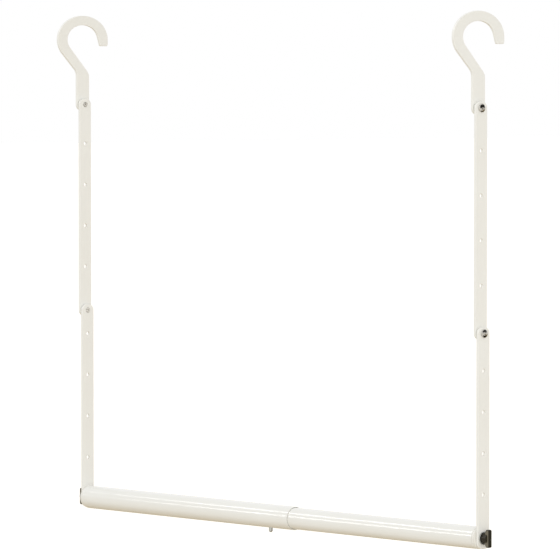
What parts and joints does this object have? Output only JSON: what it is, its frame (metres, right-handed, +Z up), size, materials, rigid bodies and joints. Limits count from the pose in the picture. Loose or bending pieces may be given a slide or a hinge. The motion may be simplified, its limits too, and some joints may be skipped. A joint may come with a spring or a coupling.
{
  "type": "foldable closet rod",
  "caption": "Hanging closet rod: flat plate hooks over a closet rail, hinged flat arms with adjustment holes, and a telescoping round tube clamped between them by end knobs.",
  "frame": {"origin": "midway between the two hook crests, at the inner top of the hooks where they rest on a closet rail", "axes": "+X along the rod from the outer tube to the inner tube, +Y the way the hooks open, +Z up"},
  "size_m": [0.6812, 0.0704, 0.5561],
  "materials": {
    "ivory_coat": "satin ivory powder coat on steel",
    "chrome": "bright plated steel",
    "zinc_steel": "zinc-plated steel",
    "spring_steel": "tempered spring steel",
    "brass": "turned brass",
    "black_plastic": "moulded black plastic with a soft sheen",
    "nylon": "moulded ivory nylon"
  },
  "bodies": {
    "rod": {"outer_tube": "ivory_coat", "left_end_plug": "nylon", "left_threaded_insert": "brass", "left_friction_washer": "nylon"},
    "inner_rod": {"inner_tube": "ivory_coat", "right_end_plug": "nylon", "right_threaded_insert": "brass", "right_friction_washer": "nylon", "button_spring": "spring_steel"},
    "button": {"snap_button": "chrome"},
    "left_knob_set": {"left_knob": "black_plastic", "left_knob_stud": "zinc_steel", "left_knob_washer": "zinc_steel"},
    "right_knob_set": {"right_knob": "black_plastic", "right_knob_stud": "zinc_steel", "right_knob_washer": "zinc_steel"},
    "left_lower": {"left_lower_arm": "ivory_coat", "left_middle_screw": "chrome", "left_middle_washer": "nylon"},
    "right_lower": {"right_lower_arm": "ivory_coat", "right_middle_screw": "chrome", "right_middle_washer": "nylon"},
    "left_upper": {"left_upper_arm": "ivory_coat", "left_top_screw": "chrome", "left_top_washer": "nylon"},
    "right_upper": {"right_upper_arm": "ivory_coat", "right_top_screw": "chrome", "right_top_washer": "nylon"},
    "left_hanger": {"left_hook": "ivory_coat"},
    "right_hanger": {"right_hook": "ivory_coat"}
  },
  "joints": [
    {"name": "rod_length", "type": "slide", "parent": "rod", "child": "inner_rod", "axis": [1, 0, 0], "range_m": [-0.24, 0]},
    {"name": "button_press", "type": "slide", "parent": "inner_rod", "child": "button", "axis": [0, 0, 1], "range_m": [0, 0.006], "stiffness_N_per_m": 900, "springref_m": -0.001, "deforming": ["button_spring"]},
    {"name": "left_knob_turn", "type": "hinge", "parent": "rod", "child": "left_knob_set", "pos_m": [-0.3208, 0, -0.5281], "axis": [1, 0, 0], "continuous": true},
    {"name": "right_knob_turn", "type": "hinge", "parent": "inner_rod", "child": "right_knob_set", "pos_m": [0.3372, 0, -0.5281], "axis": [1, 0, 0], "continuous": true},
    {"name": "left_arm_swing", "type": "hinge", "parent": "rod", "child": "left_lower", "pos_m": [-0.3208, 0, -0.5281], "axis": [1, 0, 0], "range_deg": [-180, 180]},
    {"name": "right_arm_swing", "type": "hinge", "parent": "inner_rod", "child": "right_lower", "pos_m": [0.3372, 0, -0.5281], "axis": [1, 0, 0], "range_deg": [-180, 180]},
    {"name": "left_arm_fold", "type": "hinge", "parent": "left_lower", "child": "left_upper", "pos_m": [-0.3249, 0, -0.3187], "axis": [1, 0, 0], "range_deg": [-170, 170]},
    {"name": "right_arm_fold", "type": "hinge", "parent": "right_lower", "child": "right_upper", "pos_m": [0.3331, 0, -0.3187], "axis": [1, 0, 0], "range_deg": [-170, 170]},
    {"name": "left_hook_turn", "type": "hinge", "parent": "left_upper", "child": "left_hanger", "pos_m": [-0.329, 0, -0.0887], "axis": [1, 0, 0], "range_deg": [-180, 180]},
    {"name": "right_hook_turn", "type": "hinge", "parent": "right_upper", "child": "right_hanger", "pos_m": [0.329, 0, -0.0887], "axis": [1, 0, 0], "range_deg": [-180, 180]}
  ]
}
